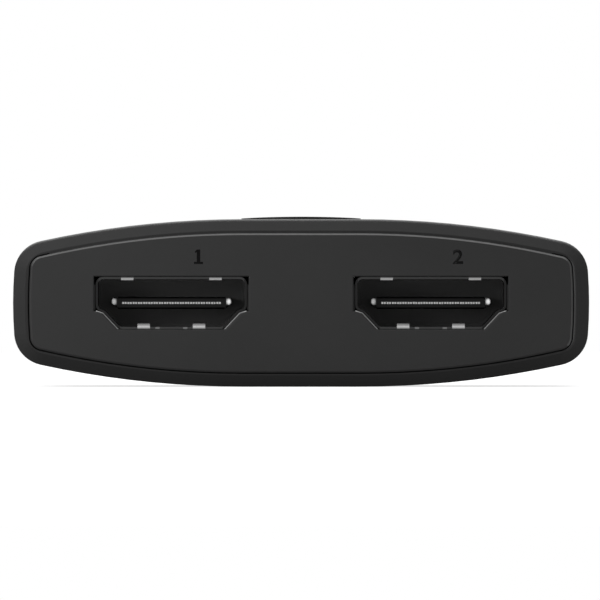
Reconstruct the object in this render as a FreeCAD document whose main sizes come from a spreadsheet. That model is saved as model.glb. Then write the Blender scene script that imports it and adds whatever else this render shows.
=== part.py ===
import FreeCAD, Part
import math
import os
import Sketcher
from FreeCAD import Placement, Rotation, Vector

# A switch box for video sources: a flattened, rounded tube closed at both ends by snap-in panels,
# with two receptacles in the front panel, one in the rear panel and a select button on the crown.
# Millimetres. X runs right, Y from front to rear, Z up from the resting plane; mid-depth is y = 0.

SIZES = {
    # Outer tube, bowed on all four sides
    "body_width": 55.0,
    "body_height": 16.0,
    "body_depth": 52.0,
    "crown_flat": 11.2,
    "crown_radius": 90.0,
    "corner_radius": 3.2,
    "side_radius": 41.0,
    # Rim at each end of the tube
    "rim_side": 1.43,
    "rim_top": 1.24,
    "bevel_width": 1.1,
    "bevel_depth": 0.8,
    # End panels and the ledge behind them
    "panel_thickness": 1.7,
    "panel_proud": 0.2,
    "panel_gap": 0.1,
    "panel_crown_radius": 86.0,
    "panel_corner_radius": 1.25,
    "panel_side_radius": 45.0,
    "panel_edge_bevel": 0.18,
    "ledge_step": 0.6,
    "cavity_corner_radius": 0.8,
    # Snap latches on the panels
    "latch_width": 8.0,
    "side_latch_width": 2.4,
    "latch_thickness": 1.0,
    "latch_length": 6.0,
    "latch_gap": 0.15,
    "catch_height": 0.5,
    "catch_length": 1.6,
    "catch_gap": 0.15,
    # Receptacle opening, narrowed at its floor
    "port_pitch": 24.76,
    "port_width": 14.0,
    "port_high": 4.55,
    "port_side_low": 0.51,
    "shoulder_width": 12.66,
    "shoulder_low": 0.74,
    "port_floor_width": 9.78,
    "port_corner": 0.5,
    "cut_side_gap": 0.16,
    "cut_gap": 0.03,
    "cut_bevel": 0.09,
    # Stamped receptacle shell
    "shell_sheet": 0.22,
    "shell_length": 11.0,
    "shell_inset": 0.15,
    "leg_width": 1.2,
    "front_leg_setback": 3.4,
    "rear_leg_setback": 8.6,
    "leg_tail": 0.8,
    "leg_slot_gap": 0.15,
    # Spring fingers of the shell, hemmed back into the mouth from its front edge
    "finger_width": 1.18,
    "finger_length": 5.0,
    "finger_sheet": 0.18,
    "hem_inset": 0.07,
    "hem_depth": 0.25,
    "hem_bevel": 0.08,
    "roof_hem_high": 0.29,
    "roof_finger_spacing": 8.42,
    "roof_finger_bow": 0.05,
    "floor_hem_high": 0.49,
    "floor_finger_spacing": 5.28,
    "floor_finger_bow": 0.08,
    # Insulator, tongue and the plate inside the tongue
    "tongue_width": 10.4,
    "tongue_high": 0.98,
    "tongue_setback": 2.2,
    "block_setback": 8.0,
    "block_tail": 1.3,
    "block_gap": 0.16,
    "ear_width": 0.54,
    "ear_high": 0.72,
    "ear_bevel": 0.17,
    "plate_thickness": 0.2,
    # Contacts, in an upper and a lower row
    "contact_pitch": 1.0,
    "upper_contacts": 10.0,
    "lower_contacts": 9.0,
    "contact_width": 0.42,
    "contact_thickness": 0.2,
    "contact_ramp": 1.6,
    "contact_foot": 0.8,
    "tail_gap": 0.2,
    # Circuit board and its rails
    "board_thickness": 1.2,
    "board_end_gap": 0.1,
    "board_side_gap": 0.4,
    "rail_gap": 0.1,
    "rail_height": 1.0,
    "rail_hold": 1.3,
    # Select button and its guide
    "button_diameter": 11.5,
    "button_rise": 0.3,
    "button_gap": 0.15,
    "button_crown_radius": 110.0,
    "flange_diameter": 13.4,
    "flange_thickness": 0.8,
    "flange_gap": 0.1,
    "collar_gap": 0.2,
    "collar_wall": 0.85,
    "collar_depth": 1.9,
    "stem_diameter": 3.6,
    "stem_gap": 0.05,
    # Tact switch under the button
    "switch_side": 6.2,
    "switch_case_high": 3.2,
    "switch_well_diameter": 4.6,
    "switch_well_floor": 0.6,
    "switch_cover_sheet": 0.25,
    "plunger_diameter": 3.4,
    "plunger_top": 5.0,
    "plunger_flange_diameter": 4.2,
    "plunger_gap": 0.15,
    "dome_diameter": 4.0,
    "dome_crest_diameter": 2.0,
    "dome_high": 0.55,
    "dome_gap": 0.05,
    "pin_width": 0.7,
    "pin_sheet": 0.3,
    "pin_spacing": 4.5,
    "pin_slot_gap": 0.15,
    # Lamps and light pipes
    "lamp_spacing": 24.76,
    "lamp_gap": 2.25,
    "lamp_length": 1.6,
    "lamp_width": 0.8,
    "lamp_high": 0.75,
    "pipe_diameter": 2.0,
    "pipe_gap": 0.05,
    "pipe_lamp_gap": 0.3,
    # Chips on the board
    "chip_side": 7.0,
    "chip_high": 0.85,
    "chip_bevel": 0.12,
    "chip_setback": 14.45,
    "small_chip_length": 3.0,
    "small_chip_width": 1.7,
    "small_chip_high": 1.1,
    "small_chip_spacing": 32.0,
    "small_chip_gap": 11.0,
    "capacitor_length": 1.6,
    "capacitor_width": 0.8,
    "capacitor_high": 0.8,
    "capacitor_pitch": 2.2,
    "capacitor_count": 4.0,
    "capacitor_row_gap": 2.0,
    # Overlap where a rib or arm grows out of a wall
    "weld": 0.3,
}

doc = FreeCAD.newDocument("VideoSwitch")
sheet = doc.addObject("Spreadsheet::Sheet", "Sizes")
for row, (alias, value) in enumerate(SIZES.items(), start=1):
    sheet.set(f"A{row}", alias)
    sheet.set(f"B{row}", str(value))
    sheet.setAlias(f"B{row}", alias)
doc.recompute()

fits = doc.addObject("App::VarSet", "Fits")
parts = []


# Places and sizes worked out from the sheet, used by more than one piece

def derive(name, formula):
    fits.addProperty("App::PropertyFloat", name, "Fits")
    fits.setExpression(name, formula)


def derive_outline(name, width, height, flat, crown, corner, side):
    derive(f"{name}_width", width)
    derive(f"{name}_height", height)
    derive(f"{name}_flat", flat)
    derive(f"{name}_crown", crown)
    derive(f"{name}_corner", corner)
    derive(f"{name}_side", side)


derive_outline("tube", "Sizes.body_width", "Sizes.body_height", "Sizes.crown_flat",
               "Sizes.crown_radius", "Sizes.corner_radius", "Sizes.side_radius")
derive_outline("seat", "Sizes.body_width - 2*Sizes.rim_side",
               "Sizes.body_height - 2*Sizes.rim_top", "Sizes.crown_flat",
               "Sizes.panel_crown_radius + Sizes.panel_gap",
               "Sizes.panel_corner_radius + Sizes.panel_gap",
               "Sizes.panel_side_radius + Sizes.panel_gap")
derive_outline("panel", "Fits.seat_width - 2*Sizes.panel_gap",
               "Fits.seat_height - 2*Sizes.panel_gap", "Sizes.crown_flat",
               "Sizes.panel_crown_radius", "Sizes.panel_corner_radius", "Sizes.panel_side_radius")
derive_outline("cavity", "Fits.seat_width - 2*Sizes.ledge_step",
               "Fits.seat_height - 2*Sizes.ledge_step", "Sizes.crown_flat",
               "Sizes.panel_crown_radius - Sizes.ledge_step",
               "Sizes.cavity_corner_radius", "Sizes.panel_side_radius - Sizes.ledge_step")

derive("mid_height", "Sizes.body_height/2")
derive("ceiling", "Fits.mid_height + Fits.cavity_height/2")
derive("panel_face", "Sizes.body_depth/2 + Sizes.panel_proud")
derive("seat_depth", "Sizes.panel_thickness - Sizes.panel_proud")
derive("ledge_face", "Sizes.body_depth/2 - Fits.seat_depth")
derive("arm_reach", "Sizes.panel_thickness + Sizes.latch_length")
derive("shell_face", "Fits.panel_face - Sizes.shell_inset")
derive("shell_half_high", "Sizes.port_high/2 + Sizes.shell_sheet")
derive("board_top", "Fits.mid_height - Fits.shell_half_high")
derive("board_half_length", "Fits.ledge_face - Sizes.board_end_gap")
derive("board_depth_below_middle", "Fits.shell_half_high + Sizes.board_thickness")
derive("crown_fall_at_board", "Fits.cavity_height/2 - Fits.board_depth_below_middle")
derive("crown_reach_at_board", "Fits.cavity_flat/2"
       " + sqrt(Fits.crown_fall_at_board*(2*Fits.cavity_crown - Fits.crown_fall_at_board))")
derive("board_half_width", "min(Fits.cavity_width/2; Fits.crown_reach_at_board) - Sizes.board_side_gap")
derive("port_tail_end", "Sizes.shell_length + Sizes.block_tail + 2*Sizes.tail_gap"
       " + Sizes.contact_thickness + Sizes.contact_foot")
derive("lamp_row", "-Fits.shell_face + Fits.port_tail_end + Sizes.lamp_gap")
derive("chip_row", "-Fits.shell_face + Sizes.chip_setback")
derive("capacitor_row", "Fits.chip_row + Sizes.chip_side/2 + Sizes.capacitor_row_gap"
       " + Sizes.capacitor_length")
derive("plunger_foot", "Sizes.switch_well_floor + Sizes.dome_high + Sizes.dome_gap")
derive("stem_foot", "Fits.board_top + Sizes.plunger_top + Sizes.stem_gap")
doc.recompute()


# Sketch helpers: every point is held by distances from the sketch's origin

def origin_feature(body, role):
    return next(item for item in body.Origin.OriginFeatures if item.Role == role)


def body_sketch(body, name, role, offset="0"):
    sketch = body.newObject("Sketcher::SketchObject", name)
    sketch.AttachmentSupport = [(origin_feature(body, role), "")]
    sketch.MapMode = "FlatFace"
    sketch.setExpression(".AttachmentOffset.Base.z", offset)
    return sketch


def profile_sketch(name, yaw=0):
    sketch = doc.addObject("Sketcher::SketchObject", name)
    upright = Rotation(Vector(1, 0, 0), 90)
    sketch.Placement = Placement(Vector(0, 0, 0), Rotation(Vector(0, 0, 1), yaw) * upright)
    return sketch


def bind(sketch, constraint, formula):
    index = sketch.addConstraint(constraint)
    sketch.setExpression(f"Constraints[{index}]", formula)


def add_polygon(sketch, corners):
    first = sketch.GeometryCount
    count = len(corners)
    steps = [2 * math.pi * index / count for index in range(count)]
    points = [Vector(math.cos(step), math.sin(step), 0) for step in steps]
    for index in range(count):
        sketch.addGeometry(Part.LineSegment(points[index], points[(index + 1) % count]), False)
    for index in range(count):
        following = first + (index + 1) % count
        sketch.addConstraint(Sketcher.Constraint("Coincident", first + index, 2, following, 1))
    for index, (across, up) in enumerate(corners):
        line = first + index
        bind(sketch, Sketcher.Constraint("DistanceX", -1, 1, line, 1, points[index].x), across)
        bind(sketch, Sketcher.Constraint("DistanceY", -1, 1, line, 1, points[index].y), up)


def add_rectangle(sketch, left, right, low, high):
    add_polygon(sketch, [(left, low), (right, low), (right, high), (left, high)])


def add_circle(sketch, across, up, radius):
    circle = sketch.addGeometry(Part.Circle(Vector(1, 1, 0), Vector(0, 0, 1), 1), False)
    bind(sketch, Sketcher.Constraint("DistanceX", -1, 1, circle, 3, 1), across)
    bind(sketch, Sketcher.Constraint("DistanceY", -1, 1, circle, 3, 1), up)
    bind(sketch, Sketcher.Constraint("Radius", circle, 1), radius)


def outline_points(name):
    """Arc centres and joints of a bowed outline's upper right quarter, as a first solution."""
    half_width = getattr(fits, f"{name}_width") / 2
    half_height = getattr(fits, f"{name}_height") / 2
    crown = getattr(fits, f"{name}_crown")
    corner = getattr(fits, f"{name}_corner")
    side = getattr(fits, f"{name}_side")
    crown_centre = Vector(getattr(fits, f"{name}_flat") / 2, half_height - crown, 0)
    side_centre = Vector(half_width - side, 0, 0)
    span = side_centre - crown_centre
    reach = ((crown - corner)**2 - (side - corner)**2 + span.Length**2) / (2 * span.Length)
    rise = math.sqrt((crown - corner)**2 - reach**2)
    along = Vector(span).normalize()
    across = Vector(along.y, -along.x, 0)
    options = [crown_centre + along * reach + across * rise * sign for sign in (1, -1)]
    corner_centre = max(options, key=lambda point: point.x)
    crown_end = crown_centre + (corner_centre - crown_centre) * (crown / (crown - corner))
    side_end = side_centre + (corner_centre - side_centre) * (side / (side - corner))
    return crown_centre, side_centre, corner_centre, crown_end, side_end


def mirrored(point, across, up):
    return Vector(point.x * across, point.y * up, 0)


def add_arc(sketch, centre, start, end):
    radius = (start - centre).Length
    first = math.atan2(start.y - centre.y, start.x - centre.x)
    last = math.atan2(end.y - centre.y, end.x - centre.x)
    circle = Part.Circle(centre, Vector(0, 0, 1), radius)
    return sketch.addGeometry(Part.ArcOfCircle(circle, first, last), False)


def add_outline(sketch, name):
    """Flat strip, crown arc, corner arc and side arc, tangent to one another all the way round."""
    crown_centre, side_centre, corner_centre, crown_end, side_end = outline_points(name)
    flat_end = Vector(crown_centre.x, getattr(fits, f"{name}_height") / 2, 0)
    loop = []
    radii = []
    for across, up in ((1, 1), (-1, 1), (-1, -1), (1, -1)):
        def here(point):
            return mirrored(point, across, up)
        outward = across * up > 0
        pieces = [(corner_centre, side_end, crown_end, "corner"),
                  (crown_centre, crown_end, flat_end, "crown")]
        if not outward:
            pieces = [(centre, end, start, kind) for centre, start, end, kind in reversed(pieces)]
        arcs = [(add_arc(sketch, here(centre), here(start), here(end)), kind)
                for centre, start, end, kind in pieces]
        radii += arcs
        numbers = [number for number, kind in arcs]
        if outward:
            flat = sketch.addGeometry(
                Part.LineSegment(here(flat_end), mirrored(flat_end, -across, up)), False)
            loop += numbers + [flat]
        else:
            bow = add_arc(sketch, mirrored(side_centre, across, 1),
                          here(side_end), mirrored(side_end, across, -up))
            radii.append((bow, "side"))
            loop += numbers + [bow]
    for index, number in enumerate(loop):
        following = loop[(index + 1) % len(loop)]
        sketch.addConstraint(Sketcher.Constraint("Tangent", number, 2, following, 1))
    for number, kind in radii:
        radius = Sketcher.Constraint("Radius", number, sketch.Geometry[number].Radius)
        bind(sketch, radius, f"Fits.{name}_{kind}")
    top, bottom = loop[2], loop[8]
    left, right = loop[5], loop[11]
    half_width = getattr(fits, f"{name}_width") / 2
    offset = half_width - getattr(fits, f"{name}_side")
    sketch.addConstraint(Sketcher.Constraint("PointOnObject", left, 3, -1))
    sketch.addConstraint(Sketcher.Constraint("PointOnObject", right, 3, -1))
    bind(sketch, Sketcher.Constraint("DistanceX", right, 3, -1, 1, -offset),
         f"Fits.{name}_side - Fits.{name}_width/2")
    bind(sketch, Sketcher.Constraint("DistanceX", -1, 1, left, 3, -offset),
         f"Fits.{name}_side - Fits.{name}_width/2")
    for line, sign in ((top, 1), (bottom, -1)):
        sketch.addConstraint(Sketcher.Constraint("Symmetric", line, 1, line, 2, -2))
        start = sketch.Geometry[line].StartPoint
        reach = Sketcher.Constraint("DistanceX", -1, 1, line, 1, start.x)
        bind(sketch, reach, f"{sign}*Fits.{name}_flat/2")
        level = Sketcher.Constraint("DistanceY", -1, 1, line, 1, start.y)
        bind(sketch, level, f"{sign}*Fits.{name}_height/2")


# Feature helpers

def new_body(name):
    body = doc.addObject("PartDesign::Body", name)
    body.Label = name
    return body


def pad(body, sketch, length, midplane=False, backward=False):
    feature = body.newObject("PartDesign::Pad", f"{sketch.Name}_pad")
    feature.Profile = sketch
    feature.setExpression("Length", length)
    feature.Midplane = midplane
    feature.Reversed = backward
    return feature


def pocket(body, sketch, length=None, midplane=False, backward=False):
    feature = body.newObject("PartDesign::Pocket", f"{sketch.Name}_pocket")
    feature.Profile = sketch
    if length is None:
        feature.Type = "ThroughAll"
    else:
        feature.setExpression("Length", length)
    feature.Midplane = midplane
    feature.Reversed = backward
    return feature


def mirror_end_to_end(body, originals):
    feature = body.newObject("PartDesign::Mirrored", f"{body.Name}_rear_end")
    feature.Originals = originals
    feature.MirrorPlane = (origin_feature(body, "XZ_Plane"), [""])
    body.Tip = feature
    return feature


def edges_at_y(shape, level):
    """Names of the edges that lie whole in the plane at this depth."""
    names = []
    for number, edge in enumerate(shape.Edges, start=1):
        box = edge.BoundBox
        if abs(box.YMin - level) < 1e-6 and abs(box.YMax - level) < 1e-6:
            names.append(f"Edge{number}")
    return names


def place(item, across="0", along="0", up="0"):
    item.setExpression(".Placement.Base.x", across)
    item.setExpression(".Placement.Base.y", along)
    item.setExpression(".Placement.Base.z", up)


def extrude(source, length, direction=Vector(0, 1, 0), both_ways=False):
    item = doc.addObject("Part::Extrusion", f"{source.Name}_solid")
    item.Base = source
    item.DirMode = "Custom"
    item.Dir = direction
    item.setExpression("LengthFwd", length)
    item.Symmetric = both_ways
    item.Solid = True
    return item


def offset_profile(source, name, distance, join="Arc"):
    item = doc.addObject("Part::Offset2D", name)
    item.Source = source
    item.Join = join
    item.setExpression("Value", distance)
    return item


def round_corners(source, name, radius):
    inner = offset_profile(source, f"{name}_core", f"-{radius}", "Intersection")
    return offset_profile(inner, name, radius)


def block(name, length, width, height, across, along, up):
    """A box whose middle stands at the given place in X and its low corner in Y and Z."""
    item = doc.addObject("Part::Box", name)
    item.setExpression("Length", length)
    item.setExpression("Width", width)
    item.setExpression("Height", height)
    place(item, f"{across} - ({length})/2", along, up)
    return item


def cut(name, base, tool):
    item = doc.addObject("Part::Cut", name)
    item.Base = base
    item.Tool = tool
    item.Refine = True
    return item


def common(name, base, tool):
    item = doc.addObject("Part::Common", name)
    item.Base = base
    item.Tool = tool
    return item


def fuse(name, shapes):
    item = doc.addObject("Part::MultiFuse", name)
    item.Shapes = shapes
    item.Refine = True
    return item


def group(name, links):
    item = doc.addObject("Part::Compound", name)
    item.Links = links
    return item


def keep(item, name):
    item.Label = name
    parts.append(item)
    return item


# Outer sleeve: tube, rims, rails, button collar, light pipe holes and latch pockets

def make_outer_sleeve():
    sleeve = new_body("outer_sleeve")
    place(sleeve, up="Fits.mid_height")
    outline = body_sketch(sleeve, "tube_outline", "XZ_Plane")
    add_outline(outline, "tube")
    tube = pad(sleeve, outline, "Sizes.body_depth", midplane=True)
    doc.recompute()
    ends = [name for side in (-1, 1)
            for name in edges_at_y(tube.Shape, side * sheet.body_depth / 2)]
    bevel = sleeve.newObject("PartDesign::Chamfer", "rim_bevel")
    bevel.Base = (tube, ends)
    bevel.ChamferType = "Two distances"
    bevel.setExpression("Size", "Sizes.bevel_depth")
    bevel.setExpression("Size2", "Sizes.bevel_width")
    cavity = body_sketch(sleeve, "cavity_outline", "XZ_Plane")
    add_outline(cavity, "cavity")
    pocket(sleeve, cavity, midplane=True)
    seat = body_sketch(sleeve, "seat_outline", "XZ_Plane", "Sizes.body_depth/2")
    add_outline(seat, "seat")
    seat_pocket = pocket(sleeve, seat, "Fits.seat_depth")
    pockets = body_sketch(sleeve, "latch_pockets", "XZ_Plane",
                          "Fits.panel_face - Fits.arm_reach + Sizes.catch_length + Sizes.catch_gap")
    tall = "Fits.cavity_height/2 + Sizes.catch_height"
    wide = "Fits.cavity_width/2 + Sizes.catch_height"
    half = "(Sizes.latch_width/2 + Sizes.catch_gap)"
    side_half = "(Sizes.side_latch_width/2 + Sizes.catch_gap)"
    add_rectangle(pockets, f"-{half}", half, f"-({tall})", tall)
    pocket_length = "Sizes.catch_length + 2*Sizes.catch_gap"
    upright = pocket(sleeve, pockets, pocket_length)
    side_pockets = body_sketch(sleeve, "side_latch_pockets", "XZ_Plane",
                               "Fits.panel_face - Fits.arm_reach + Sizes.catch_length + Sizes.catch_gap")
    add_rectangle(side_pockets, f"-({wide})", wide, f"-{side_half}", side_half)
    sideways = pocket(sleeve, side_pockets, pocket_length)
    mirror_end_to_end(sleeve, [seat_pocket, upright, sideways])
    doc.recompute()
    rails = body_sketch(sleeve, "rail_profile", "XZ_Plane")
    outer = "(Fits.cavity_width/2 + Sizes.weld)"
    inner = "(Fits.board_half_width - Sizes.rail_hold)"
    over = "(Fits.board_top - Fits.mid_height + Sizes.rail_gap)"
    under = "(Fits.board_top - Fits.mid_height - Sizes.board_thickness - Sizes.rail_gap)"
    for low, high in ((over, f"{over} + Sizes.rail_height"), (f"{under} - Sizes.rail_height", under)):
        add_rectangle(rails, inner, outer, low, high)
        add_rectangle(rails, f"-{outer}", f"-{inner}", low, high)
    pad(sleeve, rails, "2*Fits.board_half_length", midplane=True)
    collar = body_sketch(sleeve, "collar_ring", "XY_Plane", "Fits.cavity_height/2 - Sizes.collar_depth")
    bore = "Sizes.flange_diameter/2 + Sizes.collar_gap"
    add_circle(collar, "0", "0", bore)
    add_circle(collar, "0", "0", f"{bore} + Sizes.collar_wall")
    pad(sleeve, collar, "Sizes.collar_depth + Sizes.weld")
    holes = body_sketch(sleeve, "crown_holes", "XY_Plane")
    add_circle(holes, "0", "0", "Sizes.button_diameter/2 + Sizes.button_gap")
    for side in ("-", ""):
        add_circle(holes, f"{side}Sizes.lamp_spacing/2", "Fits.lamp_row",
                   "Sizes.pipe_diameter/2 + Sizes.pipe_gap")
    sleeve.Tip = pocket(sleeve, holes, backward=True)
    keep(sleeve, "outer_sleeve")


# End panels: rounded plate with four snap latches and the port openings

def port_profile(name, side_gap, gap):
    """The receptacle's outline, grown by a gap: square above, stepped in and sloped at the floor."""
    sketch = profile_sketch(name)
    side = f"(Sizes.port_width/2 + {side_gap})"
    shoulder = f"(Sizes.shoulder_width/2 + {gap})"
    floor = f"(Sizes.port_floor_width/2 + {gap})"
    top = f"(Sizes.port_high/2 + {gap})"
    side_low = f"-(Sizes.port_side_low + {gap})"
    shoulder_low = f"-(Sizes.shoulder_low + {gap})"
    add_polygon(sketch, [
        (side, top), (f"-{side}", top), (f"-{side}", side_low), (f"-{shoulder}", shoulder_low),
        (f"-{floor}", f"-{top}"), (floor, f"-{top}"), (shoulder, shoulder_low), (side, side_low),
    ])
    return sketch


def make_panel_plate(name):
    plate = new_body(f"{name}_plate")
    outline = body_sketch(plate, f"{name}_outline", "XZ_Plane")
    add_outline(outline, "panel")
    slab = pad(plate, outline, "Sizes.panel_thickness", backward=True)
    doc.recompute()
    edge = plate.newObject("PartDesign::Chamfer", f"{name}_edge")
    edge.Base = (slab, edges_at_y(slab.Shape, 0))
    edge.setExpression("Size", "Sizes.panel_edge_bevel")
    arms = body_sketch(plate, f"{name}_arms", "XZ_Plane", "-Sizes.panel_thickness")
    top = "(Fits.cavity_height/2 - Sizes.latch_gap)"
    side = "(Fits.cavity_width/2 - Sizes.latch_gap)"
    half = "Sizes.latch_width/2"
    side_half = "Sizes.side_latch_width/2"
    thick = "Sizes.latch_thickness"
    add_rectangle(arms, f"-{half}", half, f"{top} - {thick}", top)
    add_rectangle(arms, f"-{half}", half, f"-{top}", f"-{top} + {thick}")
    add_rectangle(arms, f"{side} - {thick}", side, f"-{side_half}", side_half)
    add_rectangle(arms, f"-{side}", f"-{side} + {thick}", f"-{side_half}", side_half)
    pad(plate, arms, "Sizes.latch_length", backward=True)
    heel = "(Fits.arm_reach - Sizes.catch_length)"
    toe = "Fits.arm_reach"
    upright = body_sketch(plate, f"{name}_catches", "YZ_Plane")
    sideways = body_sketch(plate, f"{name}_side_catches", "XY_Plane")
    for sign in ("", "-"):
        add_polygon(upright, [(heel, f"{sign}{top}"), (heel, f"{sign}({top} + Sizes.catch_height)"),
                              (toe, f"{sign}{top}")])
        add_polygon(sideways, [(f"{sign}{side}", heel), (f"{sign}({side} + Sizes.catch_height)", heel),
                               (f"{sign}{side}", toe)])
    pad(plate, upright, "Sizes.latch_width", midplane=True)
    plate.Tip = pad(plate, sideways, "Sizes.side_latch_width", midplane=True)
    return plate


def make_opening_cutter():
    """The port opening through the panel, with a bevel round it at the panel's face."""
    side_gap = "Sizes.shell_sheet + Sizes.cut_side_gap"
    gap = "Sizes.shell_sheet + Sizes.cut_gap"
    opening = port_profile("panel_opening", f"({side_gap})", f"({gap})")
    flared = port_profile("flared_opening", f"({side_gap} + Sizes.cut_bevel)", f"({gap} + Sizes.cut_bevel)")
    bevel_end = port_profile("bevel_end", f"({side_gap})", f"({gap})")
    place(bevel_end, along="Sizes.cut_bevel")
    flare = doc.addObject("Part::Loft", "opening_flare")
    flare.Sections = [flared, bevel_end]
    flare.Solid = True
    flare.Ruled = True
    return fuse("opening_cutter", [extrude(opening, "Sizes.panel_thickness"), flare])


def make_panel(name, cutter_master, centres, turned):
    plate = make_panel_plate(name)
    cutters = []
    for number, centre in enumerate(centres, start=1):
        cutter = group(f"{name}_cutter_{number}", [cutter_master])
        place(cutter, centre)
        cutters.append(cutter)
    panel = cut(name, plate, group(f"{name}_cutters", cutters))
    if turned:
        panel.Placement = Placement(Vector(0, 0, 0), Rotation(Vector(0, 0, 1), 180))
        place(panel, along="Fits.panel_face", up="Fits.mid_height")
    else:
        place(panel, along="-Fits.panel_face", up="Fits.mid_height")
    keep(panel, name)


# Receptacle, built once about the middle of its mouth, which faces -Y

def make_shell():
    mouth = round_corners(port_profile("mouth", "0", "0"), "mouth_rounded", "Sizes.port_corner")
    outside = offset_profile(mouth, "shell_outside", "Sizes.shell_sheet")
    wall = cut("shell_wall", extrude(outside, "Sizes.shell_length"), extrude(mouth, "Sizes.shell_length"))
    pieces = [wall]
    for side in ("-", ""):
        for surface, inward in (("roof", -1), ("floor", 1)):
            middle = f"{side}Sizes.{surface}_finger_spacing/2"
            hem_face = f"{-inward}*(Fits.shell_half_high - Sizes.hem_inset)"
            along_x = Vector(1, 0, 0)
            leaf = extrude(make_leaf(surface, inward), "Sizes.finger_width", along_x, both_ways=True)
            place(leaf, middle, "Sizes.hem_bevel", f"{hem_face} + {inward}*Sizes.{surface}_hem_high")
            hem = extrude(make_hem(surface, inward), "Sizes.finger_width", along_x, both_ways=True)
            place(hem, middle, "0", hem_face)
            pieces += [leaf, hem]
        for setback in ("Sizes.front_leg_setback", "Sizes.rear_leg_setback"):
            foot = "(Fits.shell_half_high + Sizes.board_thickness + Sizes.leg_tail)"
            leg = block("leg", "Sizes.shell_sheet", "Sizes.leg_width", foot,
                        f"{side}(Sizes.port_width + Sizes.shell_sheet)/2", setback, f"-{foot}")
            pieces.append(leg)
    return fuse("shell_master", pieces)


def make_hem(surface, inward):
    """The folded front end of a spring finger, from within the wall's edge to the leaf's inner face."""
    hem = profile_sketch(f"{surface}_hem", 90)
    rear = "Sizes.hem_depth"
    bevel = "Sizes.hem_bevel"
    high = f"Sizes.{surface}_hem_high"
    outline = [(bevel, "0"), (rear, "0"), (rear, high), (bevel, high), ("0", f"({high} - {bevel})"),
               ("0", bevel)]
    add_polygon(hem, [(along, f"{inward}*{up}") for along, up in outline])
    return hem


def make_leaf(surface, inward):
    """A spring leaf bowed into the mouth: two arcs about one centre, level at both ends."""
    sag = f"Sizes.{surface}_finger_bow"
    chord = "Sizes.finger_length"
    radius = f"({chord}^2/(8*{sag}) + {sag}/2)"
    leaf = profile_sketch(f"{surface}_leaf", 90)
    middle = Vector(1, -inward, 0)
    crest = inward * math.pi / 2
    quarter = math.pi / 4
    outer_start, inner_start = 2.0, 1.6
    arcs = []
    for start_radius in (outer_start, inner_start):
        circle = Part.Circle(middle, Vector(0, 0, 1), start_radius)
        arcs.append(leaf.addGeometry(Part.ArcOfCircle(circle, crest - quarter, crest + quarter), False))
    outer, inner = arcs
    for point in (1, 2):
        start = leaf.getPoint(outer, point)
        end = leaf.getPoint(inner, point)
        line = leaf.addGeometry(Part.LineSegment(start, end), False)
        leaf.addConstraint(Sketcher.Constraint("Coincident", line, 1, outer, point))
        leaf.addConstraint(Sketcher.Constraint("Coincident", line, 2, inner, point))
    leaf.addConstraint(Sketcher.Constraint("Coincident", outer, 3, inner, 3))
    bind(leaf, Sketcher.Constraint("DistanceX", -1, 1, outer, 3, middle.x), f"{chord}/2")
    bind(leaf, Sketcher.Constraint("DistanceY", -1, 1, outer, 3, middle.y), f"{-inward}*({radius} - {sag})")
    bind(leaf, Sketcher.Constraint("Radius", outer, outer_start), radius)
    bind(leaf, Sketcher.Constraint("Radius", inner, inner_start), f"{radius} - Sizes.finger_sheet")
    left_end, right_end = (2, 1) if inward > 0 else (1, 2)
    for arc in arcs:
        near = leaf.getPoint(arc, left_end).x
        far = leaf.getPoint(arc, right_end).x
        bind(leaf, Sketcher.Constraint("DistanceX", -1, 1, arc, left_end, near), "0")
        bind(leaf, Sketcher.Constraint("DistanceX", -1, 1, arc, right_end, far), chord)
    return leaf


def make_contact_row(row):
    """One bent strip: from the tongue's nose up a ramp to the tongue's face, then down to the board."""
    body = new_body(f"{row}_contact_row")
    strip = body_sketch(body, f"{row}_contact", "YZ_Plane")
    thick = "Sizes.contact_thickness"
    nose = "Sizes.tongue_setback"
    flat = f"({nose} + Sizes.contact_ramp)"
    rear = "(Sizes.shell_length + Sizes.block_tail)"
    board = "-Fits.shell_half_high"
    half = f"{thick}/2"
    if row == "upper":
        face, under = "Sizes.tongue_high/2", f"(Sizes.tongue_high/2 - {thick})"
        drop = f"({rear} + 2*Sizes.tail_gap + {thick})"
        foot = f"({drop} + Sizes.contact_foot)"
        corners = [(nose, f"-{half}"), (flat, under), (drop, under), (drop, board), (foot, board),
                   (foot, f"{board} + {thick}"), (f"{drop} + {thick}", f"{board} + {thick}"),
                   (f"{drop} + {thick}", face), (flat, face), (nose, half)]
    else:
        face, over = "-Sizes.tongue_high/2", f"(-Sizes.tongue_high/2 + {thick})"
        drop = f"({rear} + Sizes.tail_gap)"
        corners = [(nose, f"-{half}"), (flat, face), (drop, face),
                   (drop, f"{board} + {thick}"), (f"{drop} - Sizes.tail_gap", f"{board} + {thick}"),
                   (f"{drop} - Sizes.tail_gap", board), (f"{drop} + {thick}", board),
                   (f"{drop} + {thick}", over), (flat, over), (nose, half)]
    add_polygon(strip, corners)
    first = pad(body, strip, "Sizes.contact_width", midplane=True)
    repeat = body.newObject("PartDesign::LinearPattern", f"{row}_contacts")
    repeat.Originals = [first]
    repeat.Direction = (origin_feature(body, "X_Axis"), [""])
    repeat.Mode = "Spacing"
    repeat.setExpression("Offset", "Sizes.contact_pitch")
    repeat.setExpression("Occurrences", f"Sizes.{row}_contacts")
    body.Tip = repeat
    place(body, f"-Sizes.contact_pitch*(Sizes.{row}_contacts - 1)/2")
    return body


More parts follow.
